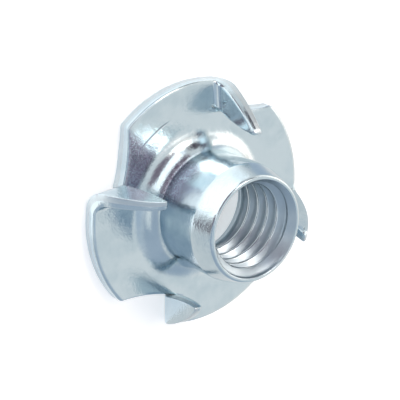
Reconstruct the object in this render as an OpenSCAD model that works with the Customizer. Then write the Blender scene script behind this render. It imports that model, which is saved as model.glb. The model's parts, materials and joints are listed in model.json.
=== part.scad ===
// Four-pronged tee nut for an M10 x 1.5 bolt: one piece of zinc-plated steel sheet, with the barrel drawn
// out of the disc, the bore tapped, and four prongs sheared from the rim and folded up beside their notches.
// Frame: the origin is the centre of the flange's flat back, +Z points along the barrel to its lip, and
// +X and +Y pass through the middles of two lobes. All sizes are in millimetres.

/* [Flange] */
// Diameter of the flange over its lobes
flange_d = 25.5; // [22:0.5:36]
// Thickness of the steel sheet
sheet_t = 1.45; // [1:0.05:1.9]
// Small bevel that stands for the rounded edges of the rim and prongs
edge_c = 0.15; // [0.05:0.05:0.25]

/* [Barrel] */
// Height from the flange's back to the lip of the barrel
total_h = 11; // [9:0.25:20]
// Outside diameter of the straight land, its widest, which seats in the drilled hole
barrel_d = 12.2; // [11.9:0.1:14]
// Length of the straight land, which ends where the tapered nose begins
land_len = 2; // [0.5:0.1:3]
// Outside diameter at the waist, where the fillet runs into the barrel
waist_d = 11.8; // [11.2:0.1:11.9]
// Radius of the concave fillet between the flange and the barrel
fillet_r = 2.5; // [1:0.1:3.2]
// Length of the tapered nose, up to the lip
nose_len = 2.5; // [1:0.1:3.5]
// Outside diameter of the lip
lip_d = 11.05; // [10.7:0.1:11.6]
// Rounding of the lip's outer edge
lip_round = 0.3; // [0.05:0.05:0.4]

/* [Bore] */
// Diameter over the thread's crests, the minor diameter of the thread
bore_d = 8.376; // [8.2:0.01:8.7]
// Diameter of the lead-in chamfer at the lip
mouth_d = 10.2; // [9:0.1:10.4]
// Depth of the lead-in chamfer
mouth_depth = 1.15; // [0.5:0.05:1.5]
// Radius of the drawn funnel where the bore opens to the flange's back
funnel_r = 4.1; // [2:0.1:4.4]

/* [Prongs] */
// Number of prongs, each with its own notch
prongs = 4; // [3, 4]
// Direction of the first notch, turned so that the lobes' middles lie on +X and +Y
notch_az = 47; // [0:1:90]
// How far the notch's cut corner lies clockwise of the notch's own direction
notch_back = 3.8; // [3:0.1:4.5]
// Depth of the notch inwards from the flange's outside radius
notch_depth = 3.6; // [2:0.1:3.8]
// How far anticlockwise of its own direction the notch's cut could run before it meets the fold
notch_reach = 6; // [5:0.1:7]
// How far anticlockwise of the notch's direction each prong's fold line meets the rim, one value a prong
fold_at = [5.2, 4.7, 6.1, 5.0]; // [3:0.1:6.4]
// Angle between each prong's fold line and its notch's own direction
fold_tilt = [36, 31, 33, 35]; // [15:1:42]
// Angle through which each prong is folded up from the flange
fold_angle = [96, 86, 79, 97]; // [70:1:105]
// Radius on the inside of a prong's fold
fold_r = 0.7; // [0.2:0.05:1.2]
// How far the point of a prong is rounded back from its sharp corner
tip_back = 0.3; // [0.1:0.05:0.8]
// Half width at which a prong's point begins to round
tip_r = 0.45; // [0.2:0.05:0.7]
// Thickness of a prong at its point, thinned by the press
tip_t = 0.95; // [0.6:0.05:1.4]
// Gap between a notch's cut and the root of its prong, beyond what the fold itself takes up
slit_gap = 0.1; // [0.05:0.05:0.3]

/* [Hidden] */
$fn = 96;
flange_r = flange_d / 2;
barrel_r = barrel_d / 2;
waist_r = waist_d / 2;
lip_r = lip_d / 2;
bore_r = bore_d / 2;
mouth_r = mouth_d / 2;
nose_z = total_h - nose_len;
land_z = nose_z - land_len;
eps = 0.01;
steel = [0.78, 0.82, 0.86];

// A notch is drawn in its own frame: x runs outwards along its direction, and y anticlockwise. One cut, a
// quadratic curve, runs from the rim corner (k = 1) inwards to the fold line (k = cut_k(i, 0)).
cut_a = [flange_r - notch_depth, notch_reach];
cut_b = [flange_r - notch_depth, 0.4];
cut_c = [sqrt(flange_r * flange_r - notch_back * notch_back), -notch_back];
function cut_at(k) = (1 - k) * (1 - k) * cut_a + 2 * k * (1 - k) * cut_b + k * k * cut_c;

// The frame of fold i: w runs outwards along the fold line, and s runs square to it into the notch
function dir_w(i) = [cos(fold_tilt[i]), sin(fold_tilt[i])];
function dir_s(i) = [sin(fold_tilt[i]), -cos(fold_tilt[i])];
function fold_off(i) = [sqrt(flange_r * flange_r - fold_at[i] * fold_at[i]), fold_at[i]] * dir_s(i);
// The rim is a circle in that frame, and the cut is found at a given s by solving its quadratic for k
function rim_w(i, s) = sqrt(flange_r * flange_r - (fold_off(i) + s) * (fold_off(i) + s));
function cut_k(i, s) =
    let (a = cut_a * dir_s(i), b = cut_b * dir_s(i), c = cut_c * dir_s(i),
         p = a - 2 * b + c, q = 2 * (b - a), r = a - fold_off(i) - s)
    (-q + sqrt(q * q - 4 * p * r)) / (2 * p);
function cut_w(i, s) = cut_at(cut_k(i, s)) * dir_w(i);

// Stations along a prong laid flat: some round the fold, then up the blade to its rounded point
neutral_r = fold_r + sheet_t / 2;
fold_steps = 10;
blade_steps = 5;
tip_steps = 5;
// A thicker sheet swells further into the slit as it folds, so the gap at the root grows with it
fold_swell = 0.15;
root_gap = slit_gap + fold_swell * sheet_t;
// The root is buried in the flange, and comes out of it just inside the flange's faces
root_bury = 0.8;
root_inset = 0.3;
root_edge = -0.1;
root_step = 0.02;
function tip_s(i) = cut_c * dir_s(i) - fold_off(i) - tip_back;
function tip_mid(i) = tip_s(i) - tip_r;
function fold_s(i) = neutral_r * fold_angle[i] * PI / 180;
function stations(i) = concat(
    [for (j = [1 : fold_steps]) fold_s(i) * j / fold_steps],
    [for (j = [1 : blade_steps]) fold_s(i) + (tip_mid(i) - fold_s(i)) * j / blade_steps],
    [for (j = [1 : tip_steps]) tip_mid(i) + tip_r * sin(84 * j / tip_steps)]);
function tip_centre(i) = (cut_w(i, tip_mid(i)) + rim_w(i, tip_mid(i))) / 2;
function tip_half(i, s) = s <= tip_mid(i) ? 1e3 : sqrt(max(tip_r * tip_r - pow(s - tip_mid(i), 2), 1e-4));
function blade_in(i, s) = max(cut_w(i, s) + root_gap * (1 - s / tip_s(i)), tip_centre(i) - tip_half(i, s));
function blade_out(i, s) = min(rim_w(i, s) - root_step, tip_centre(i) + tip_half(i, s));
// Full thickness round the fold, thinning to tip_t at the point
function blade_t(i, s) =
    s <= fold_s(i) ? sheet_t : sheet_t + (tip_t - sheet_t) * (s - fold_s(i)) / (tip_s(i) - fold_s(i));
function bevel(i, s) = min(edge_c, (blade_out(i, s) - blade_in(i, s)) / 3);

// One bevelled section of the sheet between widths a and b and heights lo and hi
function section(a, b, lo, hi, c) = [
    [a + c, lo], [b - c, lo], [b, lo + c], [b, hi - c], [b - c, hi], [a + c, hi], [a, hi - c], [a, lo + c]];
// Where a point of flat prong i, at s along it and at height h in the sheet, goes when it is folded
function folded(i, s, w, h) =
    let (turn = min(max(s, 0), fold_s(i)) / neutral_r * 180 / PI,
         rest = max(s - fold_s(i), 0),
         rho = fold_r + sheet_t - h)
    [w,
     s < 0 ? s : rho * sin(turn) + rest * cos(turn),
     s < 0 ? h : sheet_t + fold_r - rho * cos(turn) + rest * sin(turn)];

// The sheet blank turned about the nut's axis: a flat disc, a filleted barrel and a tapered nose
module blank() {
    rotate_extrude() {
        polygon([
            [0, 0], [flange_r - edge_c, 0], [flange_r, edge_c], [flange_r, sheet_t - edge_c],
            [flange_r - edge_c, sheet_t], [waist_r, sheet_t], [waist_r, sheet_t + fillet_r],
            [barrel_r, land_z], [barrel_r, nose_z], [lip_r, total_h - lip_round],
            [lip_r - lip_round, total_h], [0, total_h]]);
        difference() {
            translate([waist_r - eps, sheet_t - eps])
                square([fillet_r + eps, fillet_r + eps]);
            translate([waist_r + fillet_r, sheet_t + fillet_r])
                circle(r = fillet_r);
        }
    }
}

// The tapped bore as a plain cylinder over the thread's crests, with its lead-in chamfer and back funnel
module bore() {
    translate([0, 0, -1])
        cylinder(r = bore_r, h = total_h + 2);
    translate([0, 0, total_h - mouth_depth])
        cylinder(r1 = bore_r, r2 = bore_r + 2 * (mouth_r - bore_r), h = 2 * mouth_depth);
    rotate_extrude()
        difference() {
            translate([0, -1])
                square([bore_r + funnel_r, funnel_r + 1]);
            translate([bore_r + funnel_r, funnel_r])
                circle(r = funnel_r);
        }
}

// Turns what is drawn in notch i's own frame to its place
module at_notch(i) {
    rotate([0, 0, notch_az + i * 360 / prongs])
        children();
}

// Places what is drawn in fold i's frame: w becomes X, s becomes -Y
module at_fold(i) {
    at_notch(i)
        rotate([0, 0, fold_tilt[i]])
            translate([0, -fold_off(i), 0])
                mirror([0, 1, 0])
                    children();
}

// The opening in the flange from which prong i was sheared
module notch(i) {
    steps = 12;
    out = 3;
    k0 = cut_k(i, 0);
    foot = cut_at(k0);
    mouth = foot + (rim_w(i, 0) + out - cut_w(i, 0)) * dir_w(i);
    translate([0, 0, -1])
        linear_extrude(height = sheet_t + 2)
            polygon(concat(
                [for (j = [0 : steps]) cut_at(k0 + (1 - k0) * j / steps)],
                [cut_c * (1 + out / flange_r), [flange_r + out, 0], mouth]));
}

// Prong i: the sheared strip of the rim, folded up and thinned to a rounded point
module prong(i) {
    root_in = blade_in(i, root_edge);
    root_out = blade_out(i, root_edge);
    buried = section(root_in + root_inset, root_out - root_inset, root_inset, sheet_t - root_inset, edge_c);
    edge = section(root_in, root_out, root_step, sheet_t - root_step, edge_c);
    rows = concat(
        [[for (p = buried) folded(i, -root_bury, p[0], p[1])]],
        [[for (p = edge) folded(i, root_edge, p[0], p[1])]],
        [for (s = stations(i))
            [for (p = section(blade_in(i, s), blade_out(i, s), 0, blade_t(i, s), bevel(i, s)))
                folded(i, s, p[0], p[1])]]);
    n = 8;
    last = len(rows) - 1;
    points = [for (row = rows) for (p = row) p];
    sides = [for (r = [0 : last - 1]) for (j = [0 : n - 1])
        let (a = r * n + j, b = r * n + (j + 1) % n)
        each [[a, b, a + n], [b, b + n, a + n]]];
    caps = concat(
        [for (j = [1 : n - 2]) [0, j + 1, j]],
        [for (j = [1 : n - 2]) [last * n, last * n + j, last * n + j + 1]]);
    polyhedron(points = points, faces = concat(sides, caps), convexity = 4);
}

module tee_nut() {
    color(steel) {
        difference() {
            blank();
            bore();
            for (i = [0 : prongs - 1]) at_notch(i) notch(i);
        }
        for (i = [0 : prongs - 1]) at_fold(i) prong(i);
    }
}

tee_nut();
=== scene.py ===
"""Looks for a pressed tee nut: one closed surface with thread, folds and rounded edges, in bright zinc."""
import json
import math

import bmesh
import bpy
import numpy as np
from mathutils import Matrix, Vector
from mathutils.geometry import delaunay_2d_cdt


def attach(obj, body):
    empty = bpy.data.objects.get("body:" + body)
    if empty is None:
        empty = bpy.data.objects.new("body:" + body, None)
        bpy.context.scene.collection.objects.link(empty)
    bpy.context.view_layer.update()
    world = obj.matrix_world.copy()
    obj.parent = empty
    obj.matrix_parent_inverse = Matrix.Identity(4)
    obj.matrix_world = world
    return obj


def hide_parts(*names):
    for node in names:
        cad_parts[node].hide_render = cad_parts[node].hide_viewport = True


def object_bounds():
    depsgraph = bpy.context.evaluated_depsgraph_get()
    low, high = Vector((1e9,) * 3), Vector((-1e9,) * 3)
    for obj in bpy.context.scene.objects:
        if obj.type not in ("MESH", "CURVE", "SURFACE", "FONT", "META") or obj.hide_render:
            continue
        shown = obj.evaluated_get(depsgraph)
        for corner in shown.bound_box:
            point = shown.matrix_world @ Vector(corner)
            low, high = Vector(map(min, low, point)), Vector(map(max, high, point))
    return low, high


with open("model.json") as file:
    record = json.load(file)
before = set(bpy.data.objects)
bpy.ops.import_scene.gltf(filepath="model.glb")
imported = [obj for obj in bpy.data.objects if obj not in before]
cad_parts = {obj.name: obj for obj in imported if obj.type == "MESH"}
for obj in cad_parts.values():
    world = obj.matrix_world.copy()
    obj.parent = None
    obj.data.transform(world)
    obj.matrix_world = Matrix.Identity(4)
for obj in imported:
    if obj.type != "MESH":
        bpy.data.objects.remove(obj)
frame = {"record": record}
cad_box = [list(corner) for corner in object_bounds()]

# Sizes are in millimetres and degrees, in the frame's own axes, unless a comment says metres
MM = 0.001
MOUNT = {m["name"]: m for m in frame["record"]["mounts"]}
FLANGE_R = min(abs(side) for corner in cad_box for side in corner[:2]) / MM
TOTAL_H = cad_box[1][2] / MM
SHEET_T = MOUNT["wood_face"]["pos_m"][2] / MM
CREST_R = MOUNT["thread"]["dims"]["r_mm"]
LAND_R = MOUNT["barrel"]["dims"]["r_mm"]
LAND_TOP = MOUNT["barrel"]["pos_m"][2] / MM + MOUNT["barrel"]["dims"]["length_mm"] / 2

# Barrel
HUB_R = 8.35
FILLET_R = 2.6
FILLET_END = 22.0
WAIST_BEND_R = 0.25
WAIST_FLARE = 3.5
LAND_LEN = 2.0
NOSE_EASE = 0.12
LIP_R = 5.525
LIP_ROUND = 0.3
MOUTH_R = 5.1
MOUTH_DEPTH = 1.15
MOUTH_EASE = 0.04
FUNNEL_R = 4.1

# Thread: the coarse metric form, cut outwards to its roots. Its rows begin at BORE_LOW, below its first
# crest, and its two eases are shares of the flank
BORE_LOW = 1.5
PITCH = 1.5
ROOT_R = 5.0
THREAD_START = 0.3
CREST_FLAT = 0.2
ROOT_FLAT = 0.36
CREST_EASE = 0.12
ROOT_EASE = 0.25

# Prongs and notches, one value a prong where they differ. SLIT_ROUND is a share of the slit's gap, and
# NUB_END of the prong's thickness
PRONGS = 4
NOTCH_AZ = 47.0
NOTCH_BACK = 3.8
NOTCH_DEPTH = 3.6
NOTCH_REACH = 6.0
FOLD_AT = (5.2, 4.7, 6.1, 5.0)
FOLD_TILT = (36.0, 31.0, 33.0, 35.0)
FOLD_ANGLE = (96.0, 86.0, 79.0, 97.0)
FOLD_R = 0.7
SLIT_GAP = 0.12
SLIT_ROUND = 0.66
TIP_LEN = 0.62
TIP_T = 0.95
NUB_LEN = 0.8
NUB_END = 0.3
CORNER_LEN = 0.35

# Rounding of the sheared edges, how far a notch's face leans out towards the back, and over how many columns
# the lean comes and goes
ROLL_IN = 0.34
ROLL_DOWN = 0.22
EDGE_BACK = 0.1
SHEAR_LEAN = 0.25
LEAN_START, LEAN_STOP = 8, 6

# A close row stands this far inside the ends of a flat face, and its hub columns lead the notch's corner by
# this many degrees
FLAT_SUPPORT = 0.05
HUB_LEAD = 1.5

# Columns of the surface in one quarter turn: corner, cut, slit end, root of the prong, and lobe
N_CORNER = 8
N_CUT = 26
N_SLIT = 10
N_ROOT = 10
N_LOBE = 58
COLUMNS = PRONGS * (N_CORNER + N_CUT + N_SLIT + N_ROOT + N_LOBE)

# Rows along a prong: round its fold, straight on, and the last few that swell into its point
N_BEND = 14
N_BLADE = 12
N_SWELL = 3


def turn2(points, degrees):
    """Turns 2-D points about the origin: x cos a - y sin a, x sin a + y cos a."""
    a = math.radians(degrees)
    x, y = points[..., 0], points[..., 1]
    return np.stack([x * math.cos(a) - y * math.sin(a), x * math.sin(a) + y * math.cos(a)], axis=-1)


def unit(v):
    """Scales each vector to length one."""
    return v / np.linalg.norm(v, axis=-1, keepdims=True)


def left_of(v):
    """The vector a quarter turn to the left of each 2-D vector."""
    return np.stack([-v[..., 1], v[..., 0]], axis=-1)


def slope_along(points):
    """Unit tangents of a row of 2-D points, by central differences."""
    return unit(np.gradient(points, axis=0))


def corner_curve(p, tp, q, tq, n):
    """A quadratic curve from p to q whose control point is where the tangent lines at p and q cross."""
    cross = tp[0] * tq[1] - tp[1] * tq[0]
    reach = ((q - p)[0] * tq[1] - (q - p)[1] * tq[0]) / cross
    c = p + reach * tp
    k = np.linspace(0, 1, n + 1)[:, None]
    points = (1 - k) ** 2 * p + 2 * k * (1 - k) * c + k**2 * q
    tangents = unit(2 * (1 - k) * (c - p) + 2 * k * (q - c))
    return points, tangents


def hairpin_curve(p, tp, q, tq, reach, n):
    """A cubic curve from p, leaving along tp, to q, arriving along tq, with handles of the given reach."""
    a, b = p + reach * tp, q - reach * tq
    k = np.linspace(0, 1, n + 1)[:, None]
    points = (1 - k) ** 3 * p + 3 * k * (1 - k) ** 2 * a + 3 * k**2 * (1 - k) * b + k**3 * q
    tangents = unit((1 - k) ** 2 * (a - p) + 2 * k * (1 - k) * (b - a) + k**2 * (q - b))
    return points, tangents


def rim_point(degrees):
    """Points of the flange's rim circle at the given angles."""
    a = np.radians(degrees)
    return np.stack([FLANGE_R * np.cos(a), FLANGE_R * np.sin(a)], axis=-1)


CUT = np.array([
    [FLANGE_R - NOTCH_DEPTH, NOTCH_REACH],
    [FLANGE_R - NOTCH_DEPTH, 0.4],
    [math.sqrt(FLANGE_R**2 - NOTCH_BACK**2), -NOTCH_BACK],
])
CORNER_AZ = math.degrees(math.asin(NOTCH_BACK / FLANGE_R))


def cut_at(k):
    """The notch's cut: a quadratic curve, from under the prong (k = 0) to the rim corner (k = 1)."""
    k = np.asarray(k, float)[..., None]
    return (1 - k) ** 2 * CUT[0] + 2 * k * (1 - k) * CUT[1] + k**2 * CUT[2]


def cut_slope(k):
    """Unit tangent of the cut in the direction of falling k, towards the prong's root."""
    k = np.asarray(k, float)[..., None]
    return -unit((1 - k) * (CUT[1] - CUT[0]) + k * (CUT[2] - CUT[1]))


class Fold:
    """One prong's fold: w runs outwards along the fold line, and s runs square to it into the notch."""

    def __init__(self, i):
        tilt = math.radians(FOLD_TILT[i])
        self.w_dir = np.array([math.cos(tilt), math.sin(tilt)])
        self.s_dir = np.array([math.sin(tilt), -math.cos(tilt)])
        self.at = math.degrees(math.asin(FOLD_AT[i] / FLANGE_R))
        self.offset = rim_point(self.at) @ self.s_dir
        self.neutral = FOLD_R + SHEET_T / 2
        self.bend = self.neutral * math.radians(FOLD_ANGLE[i])
        self.tip = CUT[2] @ self.s_dir - self.offset
        self.root_k = self.cut_k(0.0)

    def to_sheet(self, s, w):
        """Flat place of (s, w) in the notch's frame."""
        return np.asarray(w)[..., None] * self.w_dir + (np.asarray(s)[..., None] + self.offset) * self.s_dir

    def from_sheet(self, points):
        """The s and w of flat points of the notch's frame."""
        return points @ self.s_dir - self.offset, points @ self.w_dir

    def cut_k(self, s):
        """Where the cut reaches s, from the quadratic that its three control points give."""
        a, b, c = CUT @ self.s_dir
        p, q, r = a - 2 * b + c, 2 * (b - a), a - self.offset - s
        return (-q + np.sqrt(q * q - 4 * p * r)) / (2 * p)

    def inner(self, s):
        """The prong's edge on the side of the cut, which the slit parts from the cut at its root."""
        gap = SLIT_GAP * (1 - s / self.tip)
        w = cut_at(self.cut_k(s)) @ self.w_dir + gap
        return self.to_sheet(s, w)

    def outer(self, s):
        """The prong's edge on the side of the rim."""
        return self.to_sheet(s, np.sqrt(FLANGE_R**2 - (self.offset + s) ** 2))

    def thickness(self, s):
        """The sheet's thickness round the fold, thinning evenly to the prong's point."""
        share = np.clip((s - self.bend) / (self.tip - self.bend), 0, 1)
        nub = np.clip((s - self.tip + NUB_LEN) / NUB_LEN, 0, 1)
        return (SHEET_T + (TIP_T - SHEET_T) * share) * (NUB_END + (1 - NUB_END) * np.sqrt(1 - nub**2))

    def folded(self, points, height):
        """
        Folds flat points at a height in the sheet. Round the fold a point at distance rho from the fold's
        centre goes to (rho sin a, -rho cos a), with a = s / neutral radius, and the rest runs straight on.
        """
        s, w = self.from_sheet(points)
        a = np.clip(s, 0, self.bend) / self.neutral
        rest = np.clip(s - self.bend, 0, None)
        rho = FOLD_R + SHEET_T - height
        flat = s <= 0
        out_s = np.where(flat, s, rho * np.sin(a) + rest * np.cos(a))
        z = np.where(flat, height, SHEET_T + FOLD_R - rho * np.cos(a) + rest * np.sin(a))
        return np.concatenate([self.to_sheet(out_s, w), z[..., None]], axis=-1)


def edge_profile(steps=7, wall=5):
    """
    Inset from the edge's line and height in the sheet, from the front face round to the back: the quarter
    ellipse that the punch rolls over, a sheared wall, and a small quarter circle.
    """
    a = np.radians(np.linspace(0, 90, steps + 1))
    front = np.stack([ROLL_IN * (1 - np.sin(a)), SHEET_T - ROLL_DOWN * (1 - np.cos(a))], axis=-1)
    back = np.stack([EDGE_BACK * (1 - np.cos(a)), EDGE_BACK * (1 - np.sin(a))], axis=-1)
    h = np.linspace(SHEET_T - ROLL_DOWN, EDGE_BACK, wall + 1)[1:-1]
    sides = np.stack([np.zeros_like(h), h], axis=-1)
    return np.concatenate([front, sides, back])


EDGE = edge_profile()
# Marks on the surface that the finish reads: sheared walls, depth from front to back, the tapped bore and
# its thread's crests
MARKS = ("sheared", "depth", "tapped", "crest")
EDGE_MARKS = (np.sin(np.pi * np.clip(EDGE[:, 1] / SHEET_T, 0, 1)) ** 0.4, 1 - EDGE[:, 1] / SHEET_T)


def banded(points, inward, fold=None, bent=None, lean=None):
    """
    The edge's surface along a line of flat points: each point is moved inwards by the edge profile's inset
    and lifted to its height. A prong's part is scaled to its thickness and folded, and a notch's face leans
    out towards the back.
    """
    inset = EDGE[:, 0][:, None, None]
    flat = points[None] + inset * inward[None]
    height = np.broadcast_to(EDGE[:, 1][:, None], flat.shape[:2])
    if lean is not None:
        out = SHEAR_LEAN * (1 - EDGE[:, 1] / SHEET_T)[:, None, None] * lean[None, :, None]
        flat = flat - out * inward[None]
    level = np.concatenate([flat, height[..., None]], axis=-1)
    if fold is None:
        return level
    s, _ = fold.from_sheet(flat)
    up = fold.folded(flat, height * fold.thickness(s) / SHEET_T)
    return np.where(bent[None, :, None], up, level) if bent is not None else up


def at_notch(i, points):
    """Turns points of notch i's frame to their place about the nut's axis."""
    flat = turn2(points[..., :2], NOTCH_AZ + i * 360 / PRONGS)
    return np.concatenate([flat, points[..., 2:]], axis=-1)


def quarter(i):
    """
    One quarter of the sheet's edge and the prong on it. Returns the edge's bands, the prong's two faces,
    the front and back lines where the flat faces begin, and the directions from those lines into the faces.
    """
    fold = Fold(i)
    next_start = 360 / PRONGS - CORNER_AZ - math.degrees(CORNER_LEN / FLANGE_R)

    # The lobe's end corner, rounded from the rim into the cut
    start = -CORNER_AZ - math.degrees(CORNER_LEN / FLANGE_R)
    k_corner = 1 - CORNER_LEN / (2 * np.linalg.norm(CUT[2] - CUT[1]))
    p, q = rim_point(start), cut_at(k_corner)
    corner, corner_t = corner_curve(p, left_of(unit(p)), q, cut_slope(k_corner), N_CORNER)

    # The cut, as far as the prong's root, and the slit's rounded end
    k = np.linspace(k_corner, fold.root_k, N_CUT + 1)
    cut, cut_t = cut_at(k), cut_slope(k)
    root_in = fold.inner(np.array([0.0, 0.001]))
    slit, slit_t = hairpin_curve(
        cut[-1], cut_t[-1], root_in[0], unit(root_in[1] - root_in[0]), SLIT_ROUND * SLIT_GAP, N_SLIT)

    # The lobe's rim, from the prong's root to the next notch
    az = np.linspace(fold.at, next_start, N_LOBE + 1)
    lobe = rim_point(az)
    lobe_t = left_of(unit(lobe))

    # Edge band of the flat part. Its gap, where the prong leaves it, is left open for the root
    before = np.concatenate([corner, cut[1:], slit[1:]])
    before_n = left_of(np.concatenate([corner_t, cut_t[1:], slit_t[1:]]))
    place = np.arange(len(before))
    lean = np.clip((place - N_CORNER) / LEAN_START, 0, 1)
    lean = lean * np.clip((N_CORNER + N_CUT - place) / LEAN_STOP, 0, 1)
    bent = place > len(before) - N_SLIT // 2
    band_before = banded(before, before_n, fold, bent, lean)
    band_lobe = banded(lobe, left_of(lobe_t))

    # The prong: its two edges at matching stations, and the rounded point between them
    s_end = fold.tip - TIP_LEN
    s = np.concatenate([
        np.linspace(0, fold.bend, N_BEND + 1),
        np.linspace(fold.bend, s_end, N_BLADE + 1)[1:]])
    inner, outer = fold.inner(s), fold.outer(s)
    inner_t, outer_t = slope_along(inner), left_of(unit(outer))
    inner_t[0] = slit_t[-1]
    tip, tip_t = corner_curve(inner[-1], inner_t[-1], outer[-1], outer_t[-1], N_ROOT)

    around = np.concatenate([inner, tip[1:], outer[::-1][1:]])
    around_n = left_of(np.concatenate([inner_t, tip_t[1:], outer_t[::-1][1:]]))
    prong_band = banded(around, around_n, fold)

    # The prong's two broad faces: straight rows across it, and a last few that swell into its point
    faces = []
    for end, height_share in ((0, 1.0), (-1, 0.0)):
        inset = EDGE[end, 0]
        left = inner + inset * left_of(inner_t)
        right = outer + inset * left_of(outer_t)
        across = np.linspace(0, 1, N_ROOT + 1)[:, None]
        rows = left[:, None] + across[None] * (right - left)[:, None]
        point = tip + inset * left_of(tip_t)
        swell = np.linspace(0, 1, N_SWELL + 1)[1:, None, None]
        rows = np.concatenate([rows, rows[-1] + swell * (point - rows[-1])[None]])
        row_s, _ = fold.from_sheet(rows)
        faces.append(fold.folded(rows, height_share * fold.thickness(row_s)))

    # The direction from the flat faces' lines into them, which is halfway where the slit meets the root
    line_n = np.concatenate([before_n, np.tile(-fold.s_dir, (N_ROOT - 1, 1)), left_of(lobe_t)])
    line_n[len(before) - 1] = unit(before_n[-1] - fold.s_dir)

    root_front, root_back = faces[0][0], faces[1][0]
    front_line = np.concatenate([band_before[0], root_front[1:-1], band_lobe[0]])
    back_line = np.concatenate([band_before[-1], root_back[1:-1], band_lobe[-1]])
    return {
        "bands": [at_notch(i, b) for b in (band_before, band_lobe, prong_band)],
        "faces": [at_notch(i, f) for f in faces],
        "front": at_notch(i, front_line)[:-1],
        "back": at_notch(i, back_line)[:-1],
        "inward": turn2(line_n, NOTCH_AZ + i * 360 / PRONGS)[:-1],
    }


def flat_face(line, inward, hub_r, z, angles):
    """
    A flat face of the flange in triangles, between the hub circle and the edge's line. A close row inside
    each of the two keeps the shading flat up to them. Returns points and triangles.
    """
    turn = np.stack([np.cos(angles), np.sin(angles)], axis=-1)
    inner_row = line[:, :2] + FLAT_SUPPORT * inward
    rings = np.stack([line[:, :2], inner_row, (hub_r + FLAT_SUPPORT) * turn, hub_r * turn])
    count, n = rings.shape[:2]
    place = np.arange(count * n).reshape(count, n)
    edges = np.stack([place, np.roll(place, -1, axis=1)], axis=-1)
    flat, _, triangles, *_ = delaunay_2d_cdt(
        rings.reshape(-1, 2).tolist(), edges.reshape(-1, 2).tolist(), [], 1, 1e-5)
    points = np.column_stack([np.array(flat), np.full(len(flat), z)])
    points[:n] = line
    triangles = np.array(triangles)
    middle = points[triangles].mean(axis=1)
    return points, triangles[np.hypot(middle[:, 0], middle[:, 1]) > hub_r * math.cos(math.pi / n)]


def revolved(profile, angles):
    """Turns a profile of (radius, height) about the axis: a row for each point, a column for each angle."""
    r, z = profile[:, 0][:, None], profile[:, 1][:, None] * np.ones(len(angles))
    return np.stack([r * np.cos(angles), r * np.sin(angles), z], axis=-1)


def arc(centre, radius, start, end, n):
    """Points of a circle from one angle to another, in degrees."""
    a = np.radians(np.linspace(start, end, n + 1))
    return np.stack([centre[0] + radius * np.cos(a), centre[1] + radius * np.sin(a)], axis=-1)


def line(a, b, n):
    """Evenly spaced points from a to b."""
    k = np.linspace(0, 1, n + 1)[:, None]
    return np.asarray(a) * (1 - k) + np.asarray(b) * k


MOUTH_SLOPE = unit(np.array([CREST_R - MOUTH_R, -MOUTH_DEPTH]))


def barrel_profile():
    """The barrel's outside from the hub circle to the mouth: fillet, slight flare, land, nose and lip."""
    side = math.radians(FILLET_END)
    centre = np.array([HUB_R, SHEET_T + FILLET_R])
    fillet = arc(centre, FILLET_R, 270, 180 + FILLET_END, 16)
    bend_centre = centre - (FILLET_R - WAIST_BEND_R) * np.array([math.cos(side), math.sin(side)])
    waist = arc(bend_centre, WAIST_BEND_R, 180 + FILLET_END, 180 - WAIST_FLARE, 5)
    nose_dir = unit(np.array([LIP_R - LAND_R, TOTAL_H - LIP_ROUND - LAND_TOP]))
    bend, _ = corner_curve(
        np.array([LAND_R, LAND_TOP - NOSE_EASE]), np.array([0.0, 1.0]),
        np.array([LAND_R, LAND_TOP]) + NOSE_EASE * nose_dir, nose_dir, 4)
    lip, _ = corner_curve(
        np.array([LIP_R, TOTAL_H - LIP_ROUND]), nose_dir,
        np.array([LIP_R - LIP_ROUND, TOTAL_H]), np.array([-1.0, 0.0]), 8)
    mouth, _ = corner_curve(
        np.array([MOUTH_R + MOUTH_EASE, TOTAL_H]), np.array([-1.0, 0.0]),
        np.array([MOUTH_R, TOTAL_H]) + MOUTH_EASE * MOUTH_SLOPE, MOUTH_SLOPE, 3)
    return np.concatenate([
        fillet, waist[1:],
        line(waist[-1], (LAND_R, LAND_TOP - LAND_LEN), 5)[1:],
        line((LAND_R, LAND_TOP - LAND_LEN), bend[0], 4)[1:],
        bend[1:], line(bend[-1], lip[0], 6)[1:], lip[1:], mouth])


def mouth_radius(z):
    """Radius of the lead-in cone at height z."""
    return CREST_R + (MOUTH_R - CREST_R) * (z - (TOTAL_H - MOUTH_DEPTH)) / MOUTH_DEPTH


def funnel_radius(z):
    """Radius of the drawn funnel at height z: a quarter circle whose centre is FUNNEL_R up and out."""
    drop = np.clip(FUNNEL_R - z, 0, None)
    return CREST_R + FUNNEL_R - np.sqrt(FUNNEL_R**2 - drop**2)


def soft_step(x, low_ease, high_ease):
    """A ramp held to 0 and 1, each bend of which is a parabola that reaches its ease to both sides."""
    high = np.where(x > 1 + high_ease, 1.0, x - (x - 1 + high_ease) ** 2 / (4 * high_ease))
    x = np.where(x > 1 - high_ease, high, x)
    low = np.where(x < -low_ease, 0.0, (x + low_ease) ** 2 / (4 * low_ease))
    return np.where(x < low_ease, low, x)


def thread_rows():
    """
    Phases along one pitch at which the surface has a row, with the thread's radius and crest mark there: a
    crest flat, straight flanks at about 60 degrees to each other, and a root flat, with rounded corners.
    """
    crest, root = CREST_FLAT / 2 / PITCH, ROOT_FLAT / 2 / PITCH
    flank = 0.5 - crest - root
    half = np.array([
        crest - CREST_EASE * flank, crest, crest + CREST_EASE * flank,
        0.5 - root - ROOT_EASE * flank, 0.5 - root, 0.5 - root + ROOT_EASE * flank])
    phase = np.concatenate([[-0.5], -half[::-1], half])
    share = soft_step((np.abs(phase) - crest) / flank, CREST_EASE, ROOT_EASE)
    return phase, CREST_R + (ROOT_R - CREST_R) * share, np.clip(1 - 5 * share, 0, 1)


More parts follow.
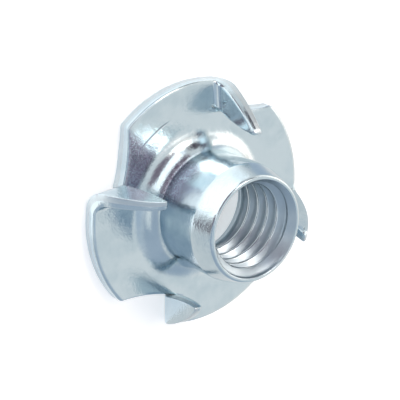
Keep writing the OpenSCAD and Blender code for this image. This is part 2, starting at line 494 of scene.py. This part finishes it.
def bore_grid(angles):
    """
    The threaded bore and the crest mark of its rows. The rows climb one pitch a turn and are held to the
    bore's ends, where they gather. The radius is the largest of the thread's, the funnel's and the mouth's.
    """
    low, high = BORE_LOW, TOTAL_H + MOUTH_EASE * MOUTH_SLOPE[1]
    phase, radius, crest = thread_rows()
    turns = int(math.ceil((high - low) / PITCH)) + 1
    start = np.concatenate([phase + t for t in range(-1, turns)]) * PITCH + low + THREAD_START
    level = np.tile(radius, turns + 1)
    climb = PITCH * angles / (2 * math.pi)
    z = start[:, None] + climb[None]
    held = np.clip(z, low, high)
    r = np.maximum(level[:, None], np.maximum(funnel_radius(held), mouth_radius(held)))
    ends = np.where(z <= low, funnel_radius(low), mouth_radius(high))
    r = np.where((z <= low) | (z >= high), ends, r)
    return np.stack([r * np.cos(angles), r * np.sin(angles), held], axis=-1), np.tile(crest, turns + 1)


def mesh_from(patches, sheets, name):
    """
    Joins grids of points and sheets of triangles into one mesh, merges what meets, drops what has no area,
    and points faces out. Each comes with its marks: one value, or for a grid also one a row.
    """
    points, faces, start = [], [], 0
    marks = {mark: [] for mark in MARKS}
    for grid, own in patches:
        rows, cols = grid.shape[:2]
        for mark in MARKS:
            value = np.asarray(own.get(mark, 0.0), float).reshape(-1, 1)
            marks[mark].append(np.broadcast_to(value, (rows, cols)).ravel())
        index = start + np.arange(rows * cols).reshape(rows, cols)
        corners = [index[:-1, :-1], index[:-1, 1:], index[1:, 1:], index[1:, :-1]]
        faces += np.stack(corners, axis=-1).reshape(-1, 4).tolist()
        points.append(grid.reshape(-1, 3))
        start += rows * cols
    for flat, triangles, own in sheets:
        for mark in MARKS:
            marks[mark].append(np.full(len(flat), own.get(mark, 0.0)))
        faces += (triangles + start).tolist()
        points.append(flat)
        start += len(flat)
    mesh = bpy.data.meshes.new(name)
    mesh.from_pydata((np.concatenate(points) * MM).tolist(), [], faces)
    for mark, values in marks.items():
        mesh.attributes.new(mark, "FLOAT", "POINT").data.foreach_set("value", np.concatenate(values))
    work = bmesh.new()
    work.from_mesh(mesh)
    bmesh.ops.remove_doubles(work, verts=work.verts, dist=1e-6)
    bmesh.ops.dissolve_degenerate(work, edges=work.edges, dist=1e-7)
    bmesh.ops.recalc_face_normals(work, faces=work.faces)
    work.to_mesh(mesh)
    work.free()
    mesh.shade_smooth()
    return mesh


def make_nut():
    """The whole nut as one closed surface."""
    angles = np.radians(NOTCH_AZ - CORNER_AZ - HUB_LEAD) + np.arange(COLUMNS) * 2 * math.pi / COLUMNS
    quarters = [quarter(i) for i in range(PRONGS)]
    front = np.concatenate([q["front"] for q in quarters])
    back = np.concatenate([q["back"] for q in quarters])
    inward = np.concatenate([q["inward"] for q in quarters])
    around = np.append(angles, angles[0] + 2 * math.pi)

    bore, crest = bore_grid(around)
    funnel_edge = CREST_R + FUNNEL_R
    foot = np.degrees(np.arccos((FUNNEL_R - BORE_LOW) / FUNNEL_R))
    funnel = arc((funnel_edge, FUNNEL_R), FUNNEL_R, 270, 270 - foot, 14)
    funnel[-1] = (funnel_radius(BORE_LOW), BORE_LOW)

    patches = [
        (revolved(barrel_profile(), around), {}),
        (revolved(funnel, around), {"depth": 1.0}),
        (bore, {"tapped": 1.0, "crest": crest}),
    ]
    wall, depth = EDGE_MARKS
    for q in quarters:
        patches += [(band, {"sheared": wall, "depth": depth}) for band in q["bands"]]
        patches += [(face, {"depth": side}) for face, side in zip(q["faces"], (0.0, 1.0))]
    sheets = [
        (*flat_face(front, inward, HUB_R, SHEET_T, angles), {}),
        (*flat_face(back, inward, funnel_edge, 0.0, angles), {"depth": 1.0}),
    ]
    return mesh_from(patches, sheets, "tee_nut_surface")


def node(tree, kind, values=None, **settings):
    """A node of the given kind, with its settings and the values of its named inputs."""
    made = tree.nodes.new(kind)
    for key, value in settings.items():
        setattr(made, key, value)
    for key, value in (values or {}).items():
        made.inputs[key].default_value = value
    return made


class Finish:
    """Short ways to write the node tree of a material or of the world."""

    def __init__(self, owner, output="ShaderNodeOutputMaterial"):
        owner.use_nodes = True
        self.tree = owner.node_tree
        self.tree.nodes.clear()
        self.out = self.tree.nodes.new(output)

    def link(self, a, b):
        self.tree.links.new(a, b)

    def feed(self, socket, value):
        """Links a socket's value in, or sets a constant."""
        if hasattr(value, "is_output"):
            self.link(value, socket)
        else:
            socket.default_value = value

    def math(self, operation, a, b=0.0, clamp=False):
        made = node(self.tree, "ShaderNodeMath", operation=operation, use_clamp=clamp)
        self.feed(made.inputs[0], a)
        self.feed(made.inputs[1], b)
        return made.outputs[0]

    def ramp(self, value, low, high, a=0.0, b=1.0):
        """Maps value from low..high to a..b, smoothly, and holds it outside."""
        made = node(self.tree, "ShaderNodeMapRange", interpolation_type="SMOOTHSTEP")
        self.feed(made.inputs["Value"], value)
        for key, bound in (("From Min", low), ("From Max", high), ("To Min", a), ("To Max", b)):
            made.inputs[key].default_value = bound
        return made.outputs["Result"]

    def mix(self, share, a, b):
        """Colour a at share 0, and b at share 1."""
        made = node(self.tree, "ShaderNodeMix", data_type="RGBA")
        self.feed(made.inputs[0], share)
        self.feed(made.inputs[6], a)
        self.feed(made.inputs[7], b)
        return made.outputs[2]

    def times(self, first, *others):
        """The product of any number of values."""
        for other in others:
            first = self.math("MULTIPLY", first, other)
        return first

    def away(self, value, centre):
        """How far a value is from a centre, to either side."""
        return self.math("ABSOLUTE", self.math("SUBTRACT", value, centre))

    def around(self, place):
        """Radius in millimetres, azimuth in degrees and height in millimetres of a place."""
        parts = node(self.tree, "ShaderNodeSeparateXYZ")
        self.link(place, parts.inputs[0])
        x, y, z = parts.outputs
        reach = self.math("SQRT", self.math("ADD", self.times(x, x), self.times(y, y)))
        azimuth = self.math("DEGREES", self.math("ARCTAN2", y, x))
        return self.math("DIVIDE", reach, MM), azimuth, self.math("DIVIDE", z, MM)

    def mark(self, name):
        """One of the surface's own marks."""
        return node(self.tree, "ShaderNodeAttribute", attribute_name=name).outputs["Fac"]

    def noise(self, vector, size, detail=2.0, roughness=0.5):
        """Noise whose features are about size millimetres across."""
        made = node(self.tree, "ShaderNodeTexNoise", {
            "Scale": 1 / (size * MM), "Detail": detail, "Roughness": roughness})
        self.link(vector, made.inputs["Vector"])
        return made.outputs["Fac"]

    def bump(self, height, distance, normal=None):
        """The surface's normal, tilted by a height that is distance millimetres at 1."""
        made = node(self.tree, "ShaderNodeBump", {"Strength": 1.0, "Distance": distance * MM})
        self.feed(made.inputs["Height"], height)
        if normal is not None:
            self.link(normal, made.inputs["Normal"])
        return made.outputs["Normal"]


# Colours of the zinc: where it is pale and deep, painted shade low on the barrel, painted shade in the
# thread's valleys and a painted highlight on its crests, on torn edges, and painted shade in the crease
PALE_ZINC = (0.615, 0.715, 0.76, 1)
DEEP_ZINC = (0.54, 0.65, 0.705, 1)
PAINTED_SHADE_ZINC = (0.27, 0.24, 0.33, 1)
VALLEY_SHADE_ZINC = (0.44, 0.52, 0.58, 1)
CREST_HIGHLIGHT_ZINC = (0.82, 0.87, 0.89, 1)
TORN_ZINC = (0.62, 0.65, 0.66, 1)
CREASE_SHADE_ZINC = (0.27, 0.31, 0.40, 1)

# Where the painted shade lies on the barrel, and where the crease lies in the lobe: azimuths and a radius
PAINTED_SHADE_AZ = 36.0
CREASE_AZ = 22.0
CREASE_R = 9.92


def zinc_plate():
    """
    Blue-white zinc over pressed steel: pale blue-grey metal with a satin gloss, a slow wander and a fine
    grain in its surface, duller where it was torn or tapped, with painted shade, dark and plum, low on one
    side of the barrel and on the flange beside it, painted shade in the thread's valleys and painted
    highlights on its crests, and a shallow crease in the lobe there that is painted dark along its line.
    """
    material = bpy.data.materials.new("zinc_plate")
    f = Finish(material)
    place = node(f.tree, "ShaderNodeTexCoord").outputs["Object"]
    r, az, z = f.around(place)
    sheared, depth, tapped, crest = (f.mark(name) for name in MARKS)
    crest = f.times(crest, f.ramp(r, CREST_R + 0.05, CREST_R + 0.15, 1.0, 0.0))

    cloud = f.noise(place, 3.0, 3.0)
    grain = f.noise(place, 0.2, 2.0, 0.6)
    speck = f.noise(place, 0.5, 2.0)
    mottle = f.ramp(f.noise(place, 0.24, 2.0, 0.7), 0.36, 0.62, 0.45, 1.0)

    # Painted shade, dark and plum: a patch low on the barrel, and a corner of the flange's front beside it,
    # broken up by the mottle
    front = f.ramp(z, SHEET_T - 0.1, SHEET_T - 0.02)
    barrel = f.times(
        f.ramp(z, 2.5, 2.8), f.ramp(z, 4.7, 6.5, 1.0, 0.0), f.ramp(r, 6.3, 6.5, 1.0, 0.0),
        f.ramp(r, 5.6, 5.8), f.ramp(f.away(az, PAINTED_SHADE_AZ), 16.0, 30.0, 1.0, 0.0))
    corner = f.times(
        front, f.ramp(z, 1.5, 1.7, 1.0, 0.0), f.ramp(r, 7.9, 8.3), f.ramp(az, 27.0, 33.0),
        f.ramp(az, 60.0, 64.0, 1.0, 0.0))
    painted_shade = f.times(f.math("MAXIMUM", barrel, corner), mottle)

    crease = f.times(
        f.ramp(f.away(r, CREASE_R), 0.0, 0.12, 1.0, 0.0),
        f.ramp(f.away(az, CREASE_AZ), 8.0, 15.0, 1.0, 0.0), front)
    valley = f.times(tapped, f.math("SUBTRACT", 1.0, crest))
    torn = f.times(sheared, f.ramp(depth, 0.45, 0.6))

    colour = f.mix(f.ramp(cloud, 0.35, 0.65), DEEP_ZINC, PALE_ZINC)
    # Painted shade, dark and plum, low on one side of the barrel and on the flange's corner beside it
    colour = f.mix(f.times(painted_shade, 0.88), colour, PAINTED_SHADE_ZINC)
    # Painted shade in the thread's valleys
    colour = f.mix(f.times(valley, 0.6), colour, VALLEY_SHADE_ZINC)
    # Painted highlight on the thread's crests
    colour = f.mix(f.times(tapped, crest), colour, CREST_HIGHLIGHT_ZINC)
    colour = f.mix(f.times(torn, 0.5), colour, TORN_ZINC)
    # Painted shade along the crease, over the crease's real bump
    colour = f.mix(f.times(crease, 0.6), colour, CREASE_SHADE_ZINC)

    rough = f.ramp(speck, 0.3, 0.7, 0.13, 0.2)
    for share, dulls in ((torn, 0.28), (valley, 0.22), (painted_shade, 0.12)):
        rough = f.math("ADD", rough, f.times(share, dulls))

    normal = f.bump(cloud, 0.06)
    normal = f.bump(grain, 0.013, normal)
    normal = f.bump(f.times(crease, -1.0), 0.03, normal)

    shader = node(f.tree, "ShaderNodeBsdfPrincipled", {"Metallic": 1.0})
    f.link(colour, shader.inputs["Base Color"])
    f.link(rough, shader.inputs["Roughness"])
    f.link(normal, shader.inputs["Normal"])
    f.link(shader.outputs[0], f.out.inputs["Surface"])
    return material


nut = bpy.data.objects.new("tee_nut_plated", make_nut())
bpy.context.scene.collection.objects.link(nut)
nut.data.materials.append(zinc_plate())
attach(nut, "root")
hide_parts("tee_nut")


# The studio. Azimuths and elevations are in degrees about the nut, with azimuth 0 along +X
# Tints of its light: lamps a little warm, and flags cool or plum
PLAIN, WARM, COOL, PLUM = (1.0, 1.0, 1.0), (1.12, 1.0, 0.92), (0.84, 0.97, 1.15), (1.15, 0.88, 1.1)

# The light tent: its radius in metres and its level. Its soft boxes and flags: azimuth, elevation, half
# width and height, softness of the edges, level, tint
TENT_R = 0.7
TENT_LEVEL = 0.88
PANELS = (
    (95, 8, 105, 48, 16, 0.54, COOL),
    (140, 70, 50, 10, 14, 0.62, COOL),
    (104, 38, 14, 10, 8, 0.95, PLAIN),
    (30, 69, 44, 8, 6, 0.25, PLUM),
    (55, 40, 12, 18, 6, 1.2, PLAIN),
    (350, 34, 10, 10, 6, 0.85, COOL),
    (25, 3, 44, 16, 8, 0.2, PLUM),
    (240, 8, 32, 22, 12, 1.1, WARM),
    (266, 28, 18, 12, 7, 1.9, WARM),
    (290, 1, 20, 14, 7, 2.0, WARM),
    (276, 11, 18, 10, 7, 2.0, WARM),
    (307, 55, 12, 8, 8, 1.05, WARM),
    (279, 65, 12, 5, 6, 1.9, WARM),
    (327, 50, 11, 9, 4, 7.0, WARM),
    (320, 24, 10, 12, 6, 0.08, PLUM),
    (348, 59, 8, 6, 5, 0.4, COOL),
)

# Small cards close to the barrel: how far out they stand, the azimuths and heights in millimetres that each
# covers, and its level and tint
NEAR_R = 20.0
NEAR_CARDS = (
    ((-8, 52), (7.5, 17.0), 1.8, PLAIN),
    ((-8, 46), (17.0, 38.0), 0.2, PLUM),
)

# Card on the floor round the nut, for its reflections: from and to which radius, how high it lies, its
# level and the softness of its sectors, across and outwards. Its sectors: azimuth, half width, from and to
# which radius, level, tint
CARD_IN, CARD_OUT = 13.5, 650.0
CARD_Z = 0.1
CARD_LEVEL = 0.8
SECTOR_SOFT, RING_SOFT = 16.0, 0.2
SECTORS = (
    (140, 50, 34, 700, 0.52, COOL),
    (25, 60, 12, 31, 1.45, PLAIN),
    (20, 36, 30, 46, 2.3, PLAIN),
    (28, 52, 50, 700, 0.2, PLUM),
    (76, 9, 27, 44, 0.12, PLUM),
    (300, 13, 12, 30, 0.6, COOL),
)

# Floor and world: half the floor's side in metres, its grey and its lift where it is seen, and the world's
# strength for light and where it is seen
FLOOR_HALF = 3.0
FLOOR_GREY, FLOOR_LIFT = 0.85, 0.45
WORLD_LIGHT, WORLD_SEEN = 0.8, 1.0


def wall_of_light(name, points, glow):
    """A sheet that only glows, with its own colour at each vertex. The camera doesn't see it."""
    rows, cols = points.shape[:2]
    index = np.arange(rows * cols).reshape(rows, cols)
    quads = np.stack([index[:-1, :-1], index[1:, :-1], index[1:, 1:], index[:-1, 1:]], -1).reshape(-1, 4)
    mesh = bpy.data.meshes.new(name)
    mesh.from_pydata(points.reshape(-1, 3).tolist(), [], quads.tolist())
    colour = np.concatenate([glow, np.ones_like(glow[..., :1])], axis=-1)
    mesh.attributes.new("glow", "FLOAT_COLOR", "POINT").data.foreach_set("color", colour.ravel())
    material = bpy.data.materials.new(name + "_light")
    f = Finish(material)
    light = node(f.tree, "ShaderNodeEmission", {"Strength": 1.0})
    own = node(f.tree, "ShaderNodeAttribute", attribute_name="glow")
    f.link(own.outputs["Color"], light.inputs["Color"])
    f.link(light.outputs[0], f.out.inputs["Surface"])
    mesh.materials.append(material)
    sheet = bpy.data.objects.new(name, mesh)
    sheet.visible_camera = False
    sheet.visible_shadow = False
    bpy.context.scene.collection.objects.link(sheet)
    return sheet


def soft_edge(offset, half, softness):
    """One where the offset is inside half, nought outside it, and a smooth step between."""
    share = np.clip((half - np.abs(offset)) / softness + 0.5, 0, 1)
    return share * share * (3 - 2 * share)


def turned_off(azimuth, centre):
    """Degrees from a centre's azimuth, between -180 and 180."""
    return (azimuth - centre + 180) % 360 - 180


def make_tent():
    """
    A dome round the nut that only reflections and bounced light see. Its glow starts at the tent's level
    and moves to each panel's by the product of two soft steps, across and up.
    """
    az, el = np.meshgrid(np.arange(0, 361, 2.0), np.arange(0, 91, 2.0))
    a, e = np.radians(az), np.radians(el)
    points = TENT_R * np.stack([np.cos(a) * np.cos(e), np.sin(a) * np.cos(e), np.sin(e)], axis=-1)
    glow = TENT_LEVEL * np.ones(az.shape + (3,))
    for p_az, p_el, wide, high, soft, level, tint in PANELS:
        share = soft_edge(turned_off(az, p_az), wide, soft) * soft_edge(el - p_el, high, soft)
        glow = glow + (level * np.array(tint) - glow) * share[..., None]
    wall_of_light("studio_tent", points, glow)


def make_card():
    """
    A ring of card on the floor round the nut, which only reflections see. Its sectors are blended in as the
    tent's panels are.
    """
    az, r = np.meshgrid(np.arange(0, 361, 3.0), np.geomspace(CARD_IN, CARD_OUT, 40))
    a = np.radians(az)
    points = np.stack([r * np.cos(a), r * np.sin(a), np.full_like(r, CARD_Z)], axis=-1) * MM
    glow = CARD_LEVEL * np.ones(az.shape + (3,))
    for s_az, wide, near, far, level, tint in SECTORS:
        share = soft_edge(turned_off(az, s_az), wide, SECTOR_SOFT)
        share = share * soft_edge(np.log(r / math.sqrt(near * far)), math.log(far / near) / 2, RING_SOFT)
        glow = glow + (level * np.array(tint) - glow) * share[..., None]
    card = wall_of_light("studio_card", points, glow)
    card.visible_diffuse = False


def make_near_cards():
    """Curved cards about the nut's axis, which only reflections see."""
    for number, (sides, heights, level, tint) in enumerate(NEAR_CARDS):
        az, z = np.meshgrid(np.radians(np.linspace(*sides, 13)), np.linspace(*heights, 3) * MM)
        points = np.stack([NEAR_R * MM * np.cos(az), NEAR_R * MM * np.sin(az), z], axis=-1)
        glow = level * np.array(tint) * np.ones(az.shape + (1,))
        card = wall_of_light("studio_near_card_%d" % number, points, glow)
        card.visible_diffuse = False


def seen_rays(f):
    """One for camera, glossy and transmission rays, and nought for the rest."""
    path = node(f.tree, "ShaderNodeLightPath")
    total = f.math("ADD", path.outputs["Is Camera Ray"], path.outputs["Is Glossy Ray"])
    return f.math("ADD", total, path.outputs["Is Transmission Ray"], clamp=True)


def make_floor():
    """A white floor: matt, with a lift of its own for what the camera and reflections see."""
    mesh = bpy.data.meshes.new("studio_floor")
    h = FLOOR_HALF
    mesh.from_pydata([(-h, -h, 0), (h, -h, 0), (h, h, 0), (-h, h, 0)], [], [(0, 1, 2, 3)])
    material = bpy.data.materials.new("white_floor")
    f = Finish(material)
    matt = node(f.tree, "ShaderNodeBsdfDiffuse", {"Color": (FLOOR_GREY, FLOOR_GREY, FLOOR_GREY, 1)})
    lift = node(f.tree, "ShaderNodeEmission", {"Color": (1, 1, 1, 1)})
    f.link(f.math("MULTIPLY", seen_rays(f), FLOOR_LIFT), lift.inputs["Strength"])
    both = node(f.tree, "ShaderNodeAddShader")
    f.link(matt.outputs[0], both.inputs[0])
    f.link(lift.outputs[0], both.inputs[1])
    f.link(both.outputs[0], f.out.inputs["Surface"])
    mesh.materials.append(material)
    floor = bpy.data.objects.new("studio_floor", mesh)
    bpy.context.scene.collection.objects.link(floor)


def make_world():
    """A white world for camera, glossy and transmission rays, and a plain grey one for the rest."""
    world = bpy.data.worlds.new("studio_world")
    bpy.context.scene.world = world
    f = Finish(world, "ShaderNodeOutputWorld")
    light = node(f.tree, "ShaderNodeBackground", {"Color": (1, 1, 1, 1)})
    f.link(f.ramp(seen_rays(f), 0.0, 1.0, WORLD_LIGHT, WORLD_SEEN), light.inputs["Strength"])
    f.link(light.outputs[0], f.out.inputs["Surface"])


# Camera: it stands over the first notch and looks down at the nut, turned about its own line of sight. The
# centre of the nut's back lies this far ahead, to the side and down in its view, in metres
CAMERA_AZ = 47.0
CAMERA_FROM_AXIS = 41.3
CAMERA_ROLL = 24.26
CAMERA_REACH = 0.2318
CAMERA_SIDE, CAMERA_DOWN = -0.0011, -0.0001
LENS_MM = 205.96


def level_direction(azimuth):
    """Unit vector towards an azimuth, level."""
    a = math.radians(azimuth)
    return np.array([math.cos(a), math.sin(a), 0.0])


def make_camera():
    """The camera: its azimuth, angle from the axis and roll give its right, down and forward."""
    away = -level_direction(CAMERA_AZ)
    across = level_direction(CAMERA_AZ + 90)
    axis = np.array([0.0, 0.0, 1.0])
    tilt, roll = math.radians(CAMERA_FROM_AXIS), math.radians(CAMERA_ROLL)
    lean = math.cos(tilt) * away + math.sin(tilt) * axis
    right = math.cos(roll) * lean - math.sin(roll) * across
    down = math.sin(roll) * lean + math.cos(roll) * across
    forward = math.sin(tilt) * away - math.cos(tilt) * axis
    spot = -(CAMERA_SIDE * right + CAMERA_DOWN * down + CAMERA_REACH * forward)
    lens = bpy.data.cameras.new("camera")
    lens.lens = LENS_MM
    lens.sensor_width = 36.0
    lens.clip_start, lens.clip_end = 0.01, 10.0
    camera = bpy.data.objects.new("camera", lens)
    turn = Matrix([[right[i], -down[i], -forward[i]] for i in range(3)])
    camera.matrix_world = Matrix.Translation(Vector(spot)) @ turn.to_4x4()
    bpy.context.scene.collection.objects.link(camera)
    bpy.context.scene.camera = camera


make_tent()
make_card()
make_near_cards()
make_floor()
make_world()
make_camera()
bpy.context.scene.view_settings.view_transform = "Standard"
